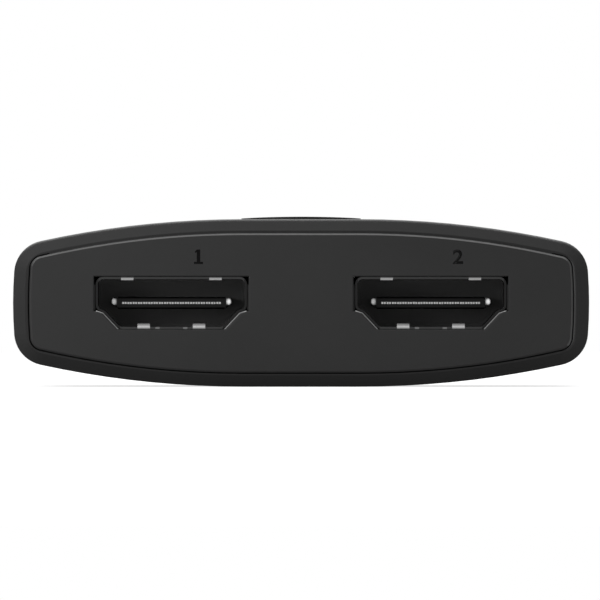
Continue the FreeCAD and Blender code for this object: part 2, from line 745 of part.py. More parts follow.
def make_mid_plate():
    """Stiffening plate between the contact rows, with an ear along each side of the tongue."""
    front = "(Sizes.tongue_setback + Sizes.contact_ramp)"
    pieces = [block("plate", "Sizes.tongue_width + 2*Sizes.ear_width", f"Sizes.block_setback - {front}",
                    "Sizes.plate_thickness", "0", front, "-Sizes.plate_thickness/2")]
    inner = "Sizes.tongue_width/2"
    outer = f"({inner} + Sizes.ear_width)"
    bevel = "Sizes.ear_bevel"
    top = "(Sizes.tongue_high/2)"
    low = f"({top} - Sizes.ear_high)"
    for side in ("-", ""):
        outline = profile_sketch("ear_outline")
        add_polygon(outline, [(f"{side}{across}", up) for across, up in (
            (inner, top), (inner, low), (f"({outer} - {bevel})", low), (outer, f"({low} + {bevel})"),
            (outer, f"({top} - {bevel})"), (f"({outer} - {bevel})", top))])
        ear = extrude(outline, "Sizes.block_setback - Sizes.tongue_setback")
        place(ear, along="Sizes.tongue_setback")
        pieces.append(ear)
    return fuse("mid_plate_master", pieces)


def make_insulator(contacts, mid_plate):
    plug = extrude(port_profile("block_outline", "-Sizes.block_gap", "-Sizes.block_gap"),
                   "Sizes.shell_length - Sizes.block_setback")
    place(plug, along="Sizes.block_setback")
    tongue = block("tongue", "Sizes.tongue_width",
                   "Sizes.block_setback - Sizes.tongue_setback + Sizes.weld", "Sizes.tongue_high",
                   "0", "Sizes.tongue_setback", "-Sizes.tongue_high/2")
    flange = extrude(port_profile("flange_outline", "Sizes.shell_sheet", "Sizes.shell_sheet"),
                     "Sizes.block_tail")
    place(flange, along="Sizes.shell_length")
    solid = fuse("insulator_solid", [plug, tongue, flange])
    return cut("insulator_master", solid, group("insulator_inserts", [contacts, mid_plate]))


def make_ports():
    shell = make_shell()
    contacts = group("contact_rows", [make_contact_row("upper"), make_contact_row("lower")])
    mid_plate = make_mid_plate()
    insulator = make_insulator(contacts, mid_plate)
    masters = (("shell", shell), ("insulator", insulator), ("contacts", contacts), ("mid_plate", mid_plate))
    half_turn = Placement(Vector(0, 0, 0), Rotation(Vector(0, 0, 1), 180))
    for port, centre, face in (("input_1", "-Sizes.port_pitch/2", "-Fits.shell_face"),
                               ("input_2", "Sizes.port_pitch/2", "-Fits.shell_face"),
                               ("output", "0", "Fits.shell_face")):
        for piece, master in masters:
            item = group(f"{port}_{piece}", [master])
            if port == "output":
                item.Placement = half_turn
            place(item, centre, face, "Fits.mid_height")
            keep(item, f"{port}_{piece}")


# Circuit board with slots for the shell legs and the switch pins

def make_circuit_board():
    board = new_body("circuit_board")
    place(board, up="Fits.board_top")
    slab = body_sketch(board, "board_outline", "XY_Plane")
    add_rectangle(slab, "-Fits.board_half_width", "Fits.board_half_width",
                  "-Fits.board_half_length", "Fits.board_half_length")
    pad(board, slab, "Sizes.board_thickness", backward=True)
    slots = body_sketch(board, "leg_slots", "XY_Plane")
    width = "(Sizes.shell_sheet/2 + Sizes.leg_slot_gap)"
    for centre, front, inward in (("-Sizes.port_pitch/2", "-Fits.shell_face", "+"),
                                  ("Sizes.port_pitch/2", "-Fits.shell_face", "+"),
                                  ("0", "Fits.shell_face", "-")):
        for side in ("-", "+"):
            middle = f"({centre} {side} (Sizes.port_width + Sizes.shell_sheet)/2)"
            for setback in ("Sizes.front_leg_setback", "Sizes.rear_leg_setback"):
                near = f"{front} {inward} ({setback} - Sizes.leg_slot_gap)"
                far = f"{front} {inward} ({setback} + Sizes.leg_width + Sizes.leg_slot_gap)"
                add_rectangle(slots, f"{middle} - {width}", f"{middle} + {width}", near, far)
    pocket(board, slots)
    pins = body_sketch(board, "pin_slots", "XY_Plane")
    for across in ("-", ""):
        for along in ("-", ""):
            middle = f"{across}(Sizes.switch_side + Sizes.pin_sheet)/2"
            row = f"{along}Sizes.pin_spacing/2"
            thin = "(Sizes.pin_sheet/2 + Sizes.pin_slot_gap)"
            wide = "(Sizes.pin_width/2 + Sizes.pin_slot_gap)"
            add_rectangle(pins, f"{middle} - {thin}", f"{middle} + {thin}",
                          f"{row} - {wide}", f"{row} + {wide}")
    board.Tip = pocket(board, pins)
    keep(board, "circuit_board")


# Select button and the tact switch under it

def make_turned(name, corners, up):
    """A round piece turned about Z from half its section."""
    body = new_body(name)
    place(body, up=up)
    section = body_sketch(body, f"{name}_section", "XZ_Plane")
    add_polygon(section, corners)
    turn = body.newObject("PartDesign::Revolution", f"{name}_turn")
    turn.Profile = section
    turn.ReferenceAxis = (section, ["V_Axis"])
    turn.Angle = 360
    body.Tip = turn
    return body


def make_button():
    """A cap bowed like the crown, a flange that the collar holds down and a stem over the switch."""
    flange_top = "(Fits.ceiling - Sizes.body_height - Sizes.flange_gap)"
    flange_low = f"({flange_top} - Sizes.flange_thickness)"
    stem_low = "(Fits.stem_foot - Sizes.body_height)"
    cap_radius, flange_radius, stem_radius = (
        f"Sizes.{size}/2" for size in ("button_diameter", "flange_diameter", "stem_diameter"))
    blank = make_turned("button_blank", [
        ("0", stem_low), (stem_radius, stem_low), (stem_radius, flange_low), (flange_radius, flange_low),
        (flange_radius, flange_top), (cap_radius, flange_top), (cap_radius, "Sizes.button_rise"),
        ("0", "Sizes.button_rise")], "Sizes.body_height")
    crown = doc.addObject("Part::Cylinder", "button_crown")
    crown.setExpression("Radius", "Sizes.button_crown_radius")
    crown.setExpression("Height", "Sizes.flange_diameter")
    crown.Placement = Placement(Vector(0, 0, 0), Rotation(Vector(1, 0, 0), 90))
    place(crown, along="Sizes.flange_diameter/2",
          up="Sizes.body_height + Sizes.button_rise - Sizes.button_crown_radius")
    keep(common("select_button", blank, crown), "select_button")


def make_switch():
    case = new_body("switch_case")
    place(case, up="Fits.board_top")
    square = body_sketch(case, "case_square", "XY_Plane")
    half = "Sizes.switch_side/2"
    add_rectangle(square, f"-{half}", half, f"-{half}", half)
    pad(case, square, "Sizes.switch_case_high")
    well = body_sketch(case, "case_well", "XY_Plane", "Sizes.switch_case_high")
    add_circle(well, "0", "0", "Sizes.switch_well_diameter/2")
    case.Tip = pocket(case, well, "Sizes.switch_case_high - Sizes.switch_well_floor")
    keep(case, "switch_case")

    cover = new_body("switch_cover")
    place(cover, up="Fits.board_top + Sizes.switch_case_high")
    plate = body_sketch(cover, "cover_plate", "XY_Plane")
    add_rectangle(plate, f"-{half}", half, f"-{half}", half)
    add_circle(plate, "0", "0", "Sizes.plunger_diameter/2 + Sizes.plunger_gap")
    cover.Tip = pad(cover, plate, "Sizes.switch_cover_sheet")
    keep(cover, "switch_cover")

    flange_top = "(Sizes.switch_case_high - Sizes.dome_gap)"
    flange = "Sizes.plunger_flange_diameter/2"
    stem = "Sizes.plunger_diameter/2"
    plunger = make_turned("switch_plunger", [
        ("0", "Fits.plunger_foot"), (flange, "Fits.plunger_foot"), (flange, flange_top),
        (stem, flange_top), (stem, "Sizes.plunger_top"), ("0", "Sizes.plunger_top"),
    ], "Fits.board_top")
    keep(plunger, "switch_plunger")

    dome = make_turned("switch_dome", [
        ("0", "0"), ("Sizes.dome_diameter/2", "0"), ("Sizes.dome_crest_diameter/2", "Sizes.dome_high"),
        ("0", "Sizes.dome_high")], "Fits.board_top + Sizes.switch_well_floor")
    keep(dome, "switch_dome")

    length = "(Sizes.board_thickness + Sizes.leg_tail + Sizes.switch_well_floor)"
    pins = [block("switch_pin", "Sizes.pin_sheet", "Sizes.pin_width", length,
                  f"{across}(Sizes.switch_side + Sizes.pin_sheet)/2",
                  f"{along}Sizes.pin_spacing/2 - Sizes.pin_width/2",
                  "-Sizes.board_thickness - Sizes.leg_tail")
            for across in ("-", "") for along in ("-", "")]
    terminals = group("switch_terminals", pins)
    place(terminals, up="Fits.board_top")
    keep(terminals, "switch_terminals")


# Lamps on the board and light pipes flush with the crown

def make_lamps():
    envelope_outline = profile_sketch("envelope_outline")
    add_outline(envelope_outline, "tube")
    envelope = extrude(envelope_outline, "Sizes.body_depth", both_ways=True)
    place(envelope, up="Fits.mid_height")
    for number, side in ((1, "-"), (2, "")):
        centre = f"{side}Sizes.lamp_spacing/2"
        lamp = block(f"port_{number}_lamp", "Sizes.lamp_length", "Sizes.lamp_width", "Sizes.lamp_high",
                     centre, "Fits.lamp_row - Sizes.lamp_width/2", "Fits.board_top")
        keep(lamp, f"port_{number}_lamp")
        rod = doc.addObject("Part::Cylinder", f"pipe_rod_{number}")
        rod.setExpression("Radius", "Sizes.pipe_diameter/2")
        foot = "(Fits.board_top + Sizes.lamp_high + Sizes.pipe_lamp_gap)"
        rod.setExpression("Height", f"Sizes.body_height - {foot}")
        place(rod, centre, "Fits.lamp_row", foot)
        keep(common(f"light_pipe_{number}", rod, envelope), f"light_pipe_{number}")


# Chips and capacitors, soldered flat on the board

def make_switch_chip():
    chip = new_body("switch_chip")
    place(chip, along="Fits.chip_row", up="Fits.board_top")
    square = body_sketch(chip, "chip_square", "XY_Plane")
    half = "Sizes.chip_side/2"
    add_rectangle(square, f"-{half}", half, f"-{half}", half)
    slab = pad(chip, square, "Sizes.chip_high")
    doc.recompute()
    tops = [f"Edge{number}" for number, edge in enumerate(slab.Shape.Edges, start=1)
            if edge.BoundBox.ZMin > sheet.chip_high / 2]
    bevel = chip.newObject("PartDesign::Chamfer", "chip_top_bevel")
    bevel.Base = (slab, tops)
    bevel.setExpression("Size", "Sizes.chip_bevel")
    chip.Tip = bevel
    keep(chip, "switch_chip")


def make_small_parts():
    chips = [block("small_chip", "Sizes.small_chip_length", "Sizes.small_chip_width",
                   "Sizes.small_chip_high", f"{side}Sizes.small_chip_spacing/2",
                   "Fits.lamp_row + Sizes.lamp_width/2 + Sizes.small_chip_gap", "Fits.board_top")
             for side in ("-", "")]
    keep(group("support_chips", chips), "support_chips")
    capacitors = []
    for side in ("-", ""):
        for number in range(int(sheet.capacitor_count)):
            capacitors.append(block(
                "capacitor", "Sizes.capacitor_width", "Sizes.capacitor_length", "Sizes.capacitor_high",
                f"{side}(Sizes.chip_side/2 + {number + 1}*Sizes.capacitor_pitch)",
                "Fits.capacitor_row - Sizes.capacitor_length", "Fits.board_top"))
    keep(group("chip_capacitors", capacitors), "chip_capacitors")


make_outer_sleeve()
opening_cutter = make_opening_cutter()
make_panel("front_panel", opening_cutter, ("-Sizes.port_pitch/2", "Sizes.port_pitch/2"), turned=False)
make_panel("rear_panel", opening_cutter, ("0",), turned=True)
make_ports()
make_circuit_board()
make_button()
make_switch()
make_lamps()
make_switch_chip()
make_small_parts()
doc.recompute()

# Checks on the document, then one file for each sub-part

for item in doc.Objects:
    if "Invalid" in item.State or "Error" in item.State:
        raise RuntimeError(f"{item.Label} failed: {item.State}")
os.makedirs("parts", exist_ok=True)
for item in parts:
    if item.Shape.isNull() or not item.Shape.isValid():
        raise RuntimeError(f"{item.Label} has no valid shape")
    item.Shape.exportStep(f"parts/{item.Label}.step")
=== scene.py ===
import math

import bmesh
import bpy
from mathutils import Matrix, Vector


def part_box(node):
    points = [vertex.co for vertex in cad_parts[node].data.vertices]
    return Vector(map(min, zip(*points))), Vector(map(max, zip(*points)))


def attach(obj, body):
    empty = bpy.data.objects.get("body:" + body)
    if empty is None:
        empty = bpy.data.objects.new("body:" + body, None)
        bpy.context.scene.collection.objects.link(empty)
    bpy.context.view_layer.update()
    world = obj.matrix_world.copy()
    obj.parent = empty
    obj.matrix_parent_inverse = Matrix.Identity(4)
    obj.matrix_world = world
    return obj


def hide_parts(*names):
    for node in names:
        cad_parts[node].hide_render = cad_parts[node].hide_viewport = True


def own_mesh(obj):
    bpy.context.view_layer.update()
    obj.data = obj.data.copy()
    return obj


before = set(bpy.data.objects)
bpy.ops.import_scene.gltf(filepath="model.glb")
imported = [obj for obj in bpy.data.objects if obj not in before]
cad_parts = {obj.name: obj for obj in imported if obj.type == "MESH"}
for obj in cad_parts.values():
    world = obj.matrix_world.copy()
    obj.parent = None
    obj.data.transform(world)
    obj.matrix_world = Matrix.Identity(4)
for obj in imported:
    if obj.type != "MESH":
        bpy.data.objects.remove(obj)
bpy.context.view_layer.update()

# Looks of a small video switch box: black moulded plastic, stamped and plated receptacles, plain numbers.
# Metres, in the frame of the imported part: X right, -Y towards the front, Z up from the resting plane.

MM = 0.001
PORTS = ("input_1", "input_2", "output")

# Straight-on view from a long way off, as in the reference picture, with the camera in metres
PIXELS_PER_MM = 10.48
PICTURE_SIDE = 600
BODY_CENTRE_PIXEL = (301.1, 302.95)
CAMERA_DISTANCE = 2.4
CAMERA_SENSOR = 0.036
CAMERA_REACH = 20

# Studio in metres, and each softbox by name, place, width, height and power in watts
FLOOR_SIDE = 3.0
FLOOR_DROP = 0.02 * MM  # the floor lies just under the sleeve, so that no face of the two coincides
FLOOR_GLOW = 0.7
FILL_LEVEL = 0.5
SEEN_LEVEL = 1.0
LIGHT_TARGET = (0, 0, 0.008)
SOFTBOXES = (("overhead", (0, 0.15, 0.8), 1.0, 1.0, 3.5),
             ("key", (-0.5, -0.8, 0.5), 0.5, 0.4, 0.6),
             ("left_card", (-0.09, -0.1, 0.05), 0.08, 0.08, 0.072))

# Colours of the finishes, and of the painted highlights, painted light and painted shade laid on them, in
# linear shares of white
WHITE = (1, 1, 1, 1)
SLEEVE_SHADE = (0.0192,) * 3
# Painted highlights on the sleeve's rim: along its upper edge, then along its right-hand inner edge
RIM_HIGHLIGHT = (0.17,) * 3
RIGHT_RIM_HIGHLIGHT = (0.09,) * 3
PANEL_SHADE = (0.027,) * 3
# Painted highlight on the right-hand side of the panel's bevel
RIGHT_BEVEL_HIGHLIGHT = (0.06,) * 3
# Painted highlights on the lips in the cut-outs, brighter on the shoulders
LIP_HIGHLIGHT = (0.14,) * 3
SHOULDER_HIGHLIGHT = (0.32,) * 3
# Insulator: a block face painted pale as painted light, painted shadow round the tongue's root and edges
BLOCK_PAINTED_LIGHT = (0.14,) * 3
ROOT_PAINTED_SHADOW = (0.003,) * 3
TONGUE_SHADE = (0.012,) * 3
TONGUE_EDGE_PAINTED_SHADE = (0.001,) * 3
SHELL_SHADE = (0.014,) * 3
# Painted light on a shell's front edge, fainter at the sides, and a painted glint at its detents
SHELL_EDGE_PAINTED_LIGHT = (0.034,) * 3
SHELL_SIDE_PAINTED_LIGHT = (0.016,) * 3
DETENT_HIGHLIGHT = (0.11,) * 3
EAR_SHADE = (0.4,) * 3
# Painted highlight on the right-hand ear, and painted shade round an ear's rim
RIGHT_EAR_HIGHLIGHT = (0.68,) * 3
EAR_RIM_PAINTED_SHADE = (0.06,) * 3
CONTACT_SHADE = (0.37,) * 3
# Painted shade in the contacts' grooves
GROOVE_PAINTED_SHADE = (0.08,) * 3
BRIGHT_SHADE = (0.42,) * 3
RESIN_SHADE = (0.02,) * 3
CERAMIC_SHADE = (0.25, 0.15, 0.08)
LAMP_SHADE = (0.9, 0.88, 0.8)
PIPE_SHADE = (0.85, 0.87, 0.88)
MASK_SHADES = ((0.006, 0.03, 0.014), (0.014, 0.07, 0.03))
INK_SHADES = ((0.001,) * 3, (0.002,) * 3)
FLOOR_SHADES = ((0.66,) * 3, (0.7,) * 3)

# Grey levels of painted highlights along a run from 0 to 1: of the panel's bevel from looking down to
# looking up, and of a shell's spring fingers from the floor to the roof
BEVEL_HIGHLIGHT_GREYS = ((0.0, 0.02), (0.4, 0.03), (0.55, 0.04), (0.8, 0.1))
FINGER_HIGHLIGHT_GREYS = ((0.01, 0.09), (0.045, 0.42), (0.075, 0.22), (0.12, 0.06), (0.91, 0.04), (0.93, 0.14),
                (0.945, 0.28), (0.965, 0.28), (0.985, 0.07))

# Runs and limits of a surface's direction along one axis, from -1 to 1
LEAST_SLOPE = 0.3
MOST_SLOPE = 0.95
FACING_OUT = 0.9
UPRIGHT = 0.5
RIM_UPWARD = (0.3, 0.55)
RIM_RAISED = (0.02, 0.2)
RIM_TURNED = (0.3, 0.5)
SHOULDER_UPWARD = (0.4, 0.52)

# Drift of the finishes, in shares
NOISE_MIDDLE = (0.3, 0.7)
SHADE_DRIFT = 0.06
GLOSS_DRIFT = 0.04
TARNISH = 0.82
STREAK_SMOOTH = 0.06
STREAK_ROUGH = 0.08
CLOUD_SHADE = 0.9
CLOUD_ROUGH = 0.1
INK_ROUGHNESS = (0.12, 0.2)

# Reliefs and marks of the finishes, and places of the painted light and shade: lengths in millimetres, and
# counts, stretches and shares as they are
BEVEL_SAMPLES = 8
CLEAR_EDGE = 0.08
PLASTIC_GRAIN = 0.004
STREAK_DEPTH = 0.002
MASK_DEPTH = 0.02
RIM_LINE = 0.45
RIGHT_SIDE = 22.0
PORT_MARGIN = 4.0
PORT_REACH = 2.9
SHELL_INSET = 0.15
BLOCK_SETBACK = 8.0
TONGUE_MARGIN = 0.2
TONGUE_FACE = 0.4
TONGUE_ROOT = 0.58
TONGUE_WIDTH = 10.3
SHELL_SIDE = 6.95
SHOULDER_LOW = 0.45
FLOOR_WIDTH = 9.78
DETENT_LOW = 2.3
DETENT_SPACING = 2.65
DETENT_WIDTH = 0.4
FINGER_WIDTH = 1.18
FINGER_MARGIN = 0.005
FINGER_REACH = 2.5
ROOF_FINGER_SPACING = 8.42
FLOOR_FINGER_SPACING = 5.28
EAR_MIDDLE = 0.25
EAR_STRETCH = 1.3
EAR_PAINTED_SHADE_FADE = (0.12, 0.36)
BEAD_PITCH = 0.25
GROOVE_SHARE = 0.14

# Printed numbers, in millimetres, with the small parts of the one in shares of its stroke
NUMBER_LOW = 11.72
NUMBER_HEIGHT = 1.38
NUMBER_STROKE = 0.33
NUMBER_1_LEFT = -10.22
NUMBER_1_WIDTH = 0.86
NUMBER_2_LEFT = 14.48
NUMBER_2_WIDTH = 0.98
NUMBER_2_WEIGHT = 0.025  # in shares of the lettering's own size
FOOT_SHARE = 0.6
FLAG_REACH = 0.5
FLAG_TOP = 0.6
FLAG_ROOT = 0.8
PRINT_PROUD = 0.004
PRINT_THICKNESS = 0.02
WELD_DISTANCE = 0.0001

# Frame on an insulator, in millimetres, with the opening's outline as (across, up) from the port's middle
PORT_OUTLINE = ((7.0, 2.275), (-7.0, 2.275), (-7.0, -0.51), (-6.33, -0.74),
                (-4.89, -2.275), (4.89, -2.275), (6.33, -0.74), (7.0, -0.51))
PORT_CORNER = 0.5
CORNER_STEPS = 5
PORT_RIM_OUTER = 0.01
PORT_RIM_INNER = 0.3
PORT_RIM_DEPTH = 0.1

# Lips in a cut-out, in millimetres: heights and widths from the port's middle, depths from the panel's face
LIP_BACK = 1.0
LEAD_TOP = 1.75
LEAD_LOW = -0.7
LEAD_INNER = 7.225
LEAD_OUTER = 7.375
LEAD_START = 0.1
LEAD_END = 0.32
LOWER_INNER = ((7.2, -0.695), (6.465, -0.948), (4.999, -2.51))
LOWER_OUTER = ((7.2, -0.8), (6.573, -0.978), (5.135, -2.51))
LOWER_START = 0.1
LOWER_END = 0.18
SEAL_REACH = 6.4
SEAL_START = 0.6
SEAL_LOW = 2.5
SEAL_HIGH = 2.52

# Bead in the groove over a panel, in millimetres, on the flat and the radius of the panel's own crown
CROWN_FLAT = 11.2
CROWN_RADIUS = 86.0
CREASE_WIDTH = 0.1
CREASE_MARGIN = 0.006
CREASE_START = 0.2
CREASE_END = 0.75
CREASE_REACH = 24.0
CREASE_STEPS = 48

# Snap dome: its sheet in millimetres, its flat crest in shares, and its mesh
DOME_SHEET = 0.1
DOME_CREST = 0.5
DOME_RINGS = 8
DOME_SIDES = 32


# Shader helpers

def new_material(name):
    material = bpy.data.materials.new(name)
    material.use_nodes = True
    nodes = material.node_tree.nodes
    nodes.clear()
    output = nodes.new("ShaderNodeOutputMaterial")
    surface = nodes.new("ShaderNodeBsdfPrincipled")
    material.node_tree.links.new(surface.outputs["BSDF"], output.inputs["Surface"])
    return material, surface


def link(material, source, target):
    material.node_tree.links.new(source, target)


def feed(material, value, socket):
    """Gives an input its value, which is another node's output or a constant."""
    if isinstance(value, bpy.types.NodeSocket):
        link(material, value, socket)
    else:
        socket.default_value = value


def calculate(material, operation, *values):
    node = material.node_tree.nodes.new("ShaderNodeMath")
    node.operation = operation
    for socket, value in zip(node.inputs, values):
        feed(material, value, socket)
    return node.outputs["Value"]


def above(material, value, level):
    """1 where the value is over the level, else 0."""
    return calculate(material, "GREATER_THAN", value, level)


def below(material, value, level):
    """1 where the value is under the level, else 0."""
    return calculate(material, "LESS_THAN", value, level)


def away(material, value, middle=0.0):
    """How far the value is from the middle, either way."""
    return calculate(material, "ABSOLUTE", calculate(material, "SUBTRACT", value, middle))


def all_of(material, *masks):
    """1 only where every mask is 1."""
    mask = masks[0]
    for other in masks[1:]:
        mask = calculate(material, "MULTIPLY", mask, other)
    return mask


def spread(material, value, start, end, low=0.0, high=1.0):
    """Runs from one level to another while the value runs from start to end."""
    node = material.node_tree.nodes.new("ShaderNodeMapRange")
    for name, level in (("From Min", start), ("From Max", end), ("To Min", low), ("To Max", high)):
        node.inputs[name].default_value = level
    link(material, value, node.inputs["Value"])
    return node.outputs["Result"]


def spread_noise(material, value, low=0.0, high=1.0):
    """Spreads the middle of a noise between two levels."""
    return spread(material, value, *NOISE_MIDDLE, low, high)


def greys(material, position, stops):
    """Grey levels read off a ramp of (position, level) stops."""
    node = material.node_tree.nodes.new("ShaderNodeValToRGB")
    marks = node.color_ramp.elements
    marks.remove(marks[1])
    marks[0].position = stops[0][0]
    marks[0].color = (*[stops[0][1]] * 3, 1)
    for place, level in stops[1:]:
        marks.new(place).color = (level, level, level, 1)
    link(material, position, node.inputs["Fac"])
    return node.outputs["Color"]


def blend_colours(material, factor, first, second):
    """Goes from the first colour to the second one, which are nodes' outputs or (red, green, blue)."""
    node = material.node_tree.nodes.new("ShaderNodeMix")
    node.data_type = "RGBA"
    link(material, factor, node.inputs[0])
    for socket, colour in ((node.inputs[6], first), (node.inputs[7], second)):
        feed(material, colour if isinstance(colour, bpy.types.NodeSocket) else (*colour, 1), socket)
    return node.outputs[2]


def toned(shade, share):
    return tuple(channel * share for channel in shade)


def split(material, vector):
    node = material.node_tree.nodes.new("ShaderNodeSeparateXYZ")
    link(material, vector, node.inputs["Vector"])
    return node.outputs["X"], node.outputs["Y"], node.outputs["Z"]


def place_in_space(material):
    """The point's position in the part's frame, so one grain runs on over every piece."""
    return material.node_tree.nodes.new("ShaderNodeTexCoord").outputs["Object"]


def axes(material):
    """The point's X, Y and Z in the part's frame."""
    return split(material, place_in_space(material))


def facing(material):
    """The surface's own direction: X, Y and Z of its flat normal."""
    return split(material, material.node_tree.nodes.new("ShaderNodeNewGeometry").outputs["True Normal"])


def sloping(material, forward):
    """1 where a face looks partly along Y and partly aside, as a bevel does."""
    slope = away(material, forward)
    return all_of(material, above(material, slope, LEAST_SLOPE), below(material, slope, MOST_SLOPE))


def noise(material, scale, detail=4.0, roughness=0.55, stretch=(1, 1, 1)):
    nodes = material.node_tree.nodes
    mapping = nodes.new("ShaderNodeMapping")
    mapping.inputs["Scale"].default_value = stretch
    link(material, place_in_space(material), mapping.inputs["Vector"])
    texture = nodes.new("ShaderNodeTexNoise")
    texture.inputs["Scale"].default_value = scale
    texture.inputs["Detail"].default_value = detail
    texture.inputs["Roughness"].default_value = roughness
    link(material, mapping.outputs["Vector"], texture.inputs["Vector"])
    return texture.outputs["Fac"]


def soft_edges(material, radius):
    """The surface's direction with its edges rounded to a radius."""
    node = material.node_tree.nodes.new("ShaderNodeBevel")
    node.samples = BEVEL_SAMPLES
    node.inputs["Radius"].default_value = radius
    return node.outputs["Normal"]


def bump(material, height, depth, normal=None):
    node = material.node_tree.nodes.new("ShaderNodeBump")
    node.inputs["Strength"].default_value = 1.0
    node.inputs["Distance"].default_value = depth
    link(material, height, node.inputs["Height"])
    if normal is not None:
        link(material, normal, node.inputs["Normal"])
    return node.outputs["Normal"]


def recolour(material, factor, other):
    """Blends the finish's own colour into another one where the factor is 1."""
    surface = material.node_tree.nodes["Principled BSDF"]
    own = surface.inputs["Base Color"].links[0].from_socket
    link(material, blend_colours(material, factor, own, other), surface.inputs["Base Color"])


def paint_highlight(material, factor, shade):
    """Turns the surface into a smooth dark mirror in the given colour where the factor is 1: a painted
    highlight on an edge or bevel.
    """
    recolour(material, factor, shade)
    link(material, factor, material.node_tree.nodes["Principled BSDF"].inputs["Metallic"])


# Plastics

def moulded_plastic(name, shade, roughness, edge=0.12, painted_top_light=0.0, gloss_level=0.1):
    """Spark-eroded plastic: a fine grain, a slow drift in shade and gloss, and painted light that makes top
    faces lighter and bottom faces darker.
    """
    material, surface = new_material(name)
    drift = spread_noise(material, noise(material, scale=90))
    colour = blend_colours(material, drift, toned(shade, 1 - SHADE_DRIFT), toned(shade, 1 + SHADE_DRIFT))
    # Painted light: the colour grows lighter where the face looks up and darker where it looks down
    if painted_top_light:
        up = calculate(material, "MULTIPLY", facing(material)[2], painted_top_light)
        top_lit = material.node_tree.nodes.new("ShaderNodeVectorMath")
        top_lit.operation = "SCALE"
        link(material, colour, top_lit.inputs[0])
        link(material, calculate(material, "ADD", up, 1.0), top_lit.inputs["Scale"])
        colour = top_lit.outputs["Vector"]
    link(material, colour, surface.inputs["Base Color"])
    speckle = noise(material, scale=2500, detail=2)
    gloss = spread_noise(material, speckle, roughness - GLOSS_DRIFT, roughness + GLOSS_DRIFT)
    link(material, gloss, surface.inputs["Roughness"])
    grains = noise(material, scale=9000, detail=3, roughness=0.6)
    relief = bump(material, grains, PLASTIC_GRAIN * MM, soft_edges(material, edge * MM))
    link(material, relief, surface.inputs["Normal"])
    surface.inputs["Specular IOR Level"].default_value = gloss_level
    return material


def sleeve_plastic():
    """The sleeve's plastic, with painted highlights as fine bright lines along its rim's upper edge and
    right-hand inner edge.
    """
    material = moulded_plastic("sleeve_plastic", SLEEVE_SHADE, roughness=0.45, painted_top_light=0.7)
    across, forward, up = facing(material)
    soft_across, _soft_forward, soft_up = split(material, soft_edges(material, RIM_LINE * MM))
    rim = above(material, away(material, forward), LEAST_SLOPE)
    upper = spread(material, up, *RIM_UPWARD)
    raised = spread(material, calculate(material, "SUBTRACT", soft_up, up), *RIM_RAISED)
    # Painted highlight: a bright line along the rim's upper outer edge
    paint_highlight(material, all_of(material, rim, upper, raised), RIM_HIGHLIGHT)
    right = above(material, axes(material)[0], RIGHT_SIDE * MM)
    turned = spread(material, calculate(material, "SUBTRACT", across, soft_across), *RIM_TURNED)
    # Painted highlight: a fainter line along the rim's right-hand inner edge
    recolour(material, all_of(material, rim, right, turned), RIGHT_RIM_HIGHLIGHT)
    return material


def panel_plastic():
    """The panel's plastic, with a painted highlight on the bevel round its outer edge, most at the top and
    the right.
    """
    material = moulded_plastic("panel_plastic", PANEL_SHADE, roughness=0.5, painted_top_light=0.3)
    _across, forward, up = facing(material)
    low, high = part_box("front_panel")
    x, _y, z = axes(material)
    beside = above(material, away(material, x), high[0] - PORT_MARGIN * MM)
    over = above(material, away(material, z, (low[2] + high[2]) / 2), PORT_REACH * MM)
    outer = all_of(material, sloping(material, forward), calculate(material, "MAXIMUM", beside, over))
    # Painted highlight on the outer bevel, brighter the more it looks up
    paint_highlight(material, outer, greys(material, spread(material, up, -1, 1), BEVEL_HIGHLIGHT_GREYS))
    upright = below(material, away(material, up), UPRIGHT)
    right = above(material, x, RIGHT_SIDE * MM)
    # Painted highlight on the right-hand side of the bevel
    recolour(material, all_of(material, outer, upright, right), RIGHT_BEVEL_HIGHLIGHT)
    return material


def lip_highlight_plastic():
    """The panel's plastic, with a painted highlight where a lip slopes down from the face, most where it
    looks up.
    """
    material = moulded_plastic("lip_highlight_plastic", PANEL_SHADE, roughness=0.5)
    _across, forward, up = facing(material)
    # Painted highlight, brighter on the shoulders, which look further up
    shade = blend_colours(material, spread(material, up, *SHOULDER_UPWARD), LIP_HIGHLIGHT, SHOULDER_HIGHLIGHT)
    paint_highlight(material, sloping(material, forward), shade)
    return material


def port_middle(port):
    """X and Z of a receptacle's middle, from the flange behind its shell."""
    low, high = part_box(f"{port}_insulator")
    return (low[0] + high[0]) / 2, (low[2] + high[2]) / 2


def insulator_plastic(port):
    """Glass-filled resin: the deep block face is painted far paler than the tongue of the same resin, as
    painted light, and painted shadow blackens the root and the edges of the tongue.
    """
    # Painted light: the base shade is far paler than black resin, to lift the shaded block face deep in the
    # port
    material = moulded_plastic(f"{port}_resin", BLOCK_PAINTED_LIGHT, roughness=0.5, edge=0.05, gloss_level=0.04)
    block_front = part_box("front_panel")[0][1] + (SHELL_INSET + BLOCK_SETBACK) * MM
    x, y, z = axes(material)
    across, level = port_middle(port)
    from_middle = away(material, z, level)
    near = below(material, from_middle, TONGUE_ROOT * MM)
    within = below(material, away(material, x, across), TONGUE_WIDTH / 2 * MM)
    tongue = above(material, away(material, y), abs(block_front) + TONGUE_MARGIN * MM)
    edge = above(material, from_middle, TONGUE_FACE * MM)
    # Painted shadow on the block round the tongue's root
    recolour(material, all_of(material, near, within), ROOT_PAINTED_SHADOW)
    recolour(material, tongue, TONGUE_SHADE)
    # Painted shade along the tongue's upper and lower edges
    recolour(material, all_of(material, tongue, edge), TONGUE_EDGE_PAINTED_SHADE)
    return material


